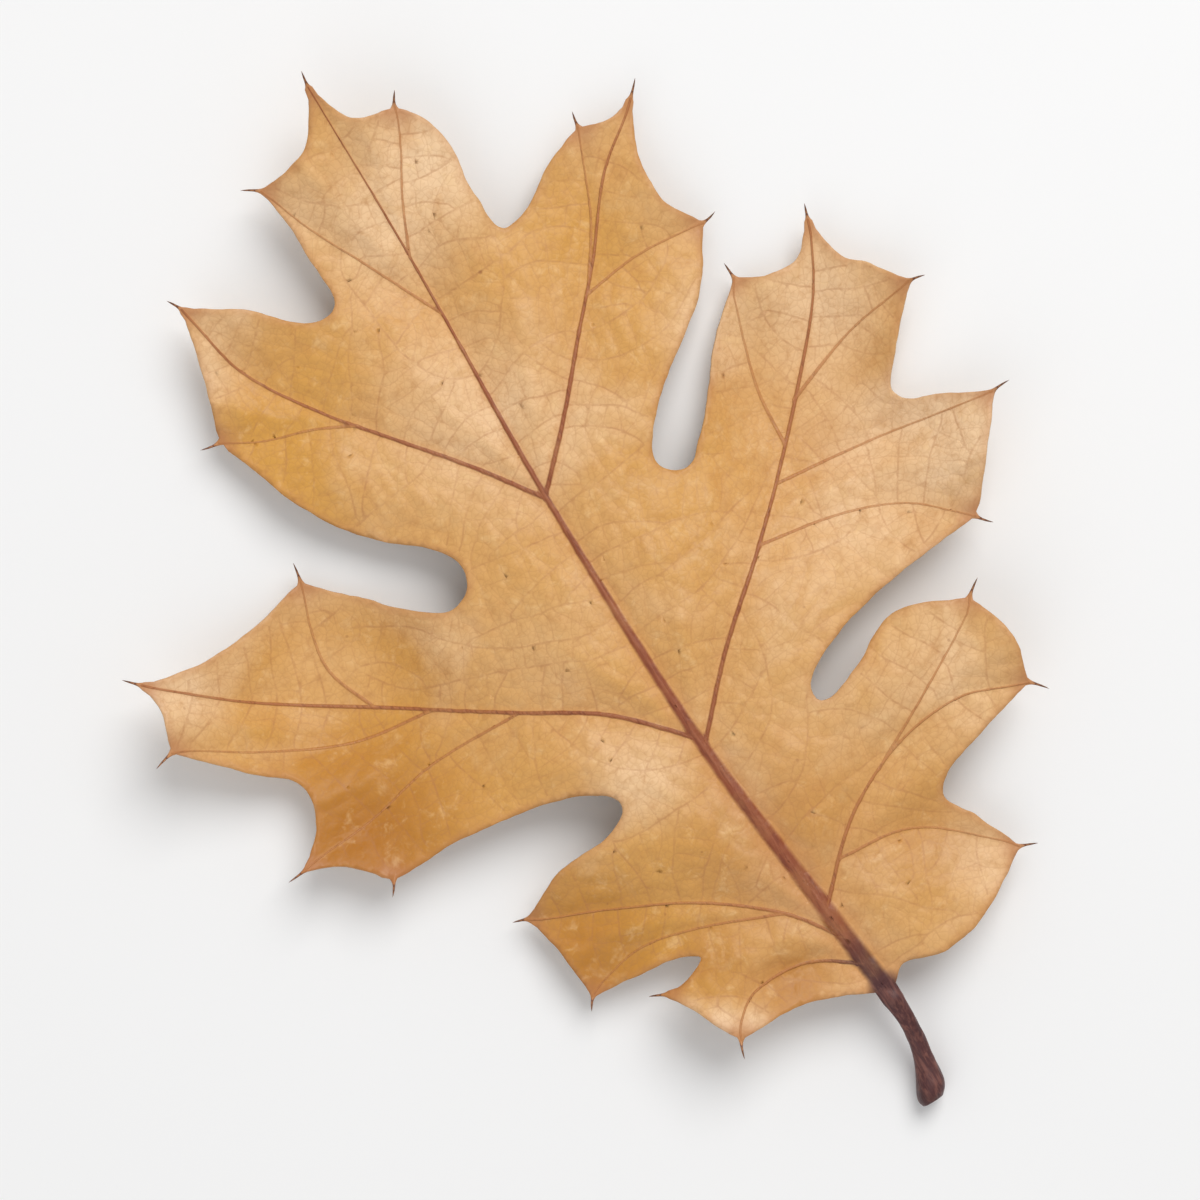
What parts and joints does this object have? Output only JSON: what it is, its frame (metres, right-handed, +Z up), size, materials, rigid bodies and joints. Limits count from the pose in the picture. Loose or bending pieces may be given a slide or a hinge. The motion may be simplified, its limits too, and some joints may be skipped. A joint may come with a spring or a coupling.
{
  "type": "autumn oak leaf",
  "caption": "Dried golden-tan oak leaf lying flat, with deep rounded bays between bristle-toothed lobes, raised veins underneath and a short stalk with a swollen foot.",
  "frame": {"origin": "on the surface that the leaf lies on, under the middle of its bounding box", "axes": "+Y along the midrib from the stalk to the tip, +Z up out of the upper face, +X to the right seen from above with the tip away"},
  "size_m": [0.0828, 0.1086, 0.0105],
  "materials": {
    "dried_leaf": "matt"
  },
  "bodies": {
    "root": {"leaf": "dried_leaf"}
  },
  "joints": []
}
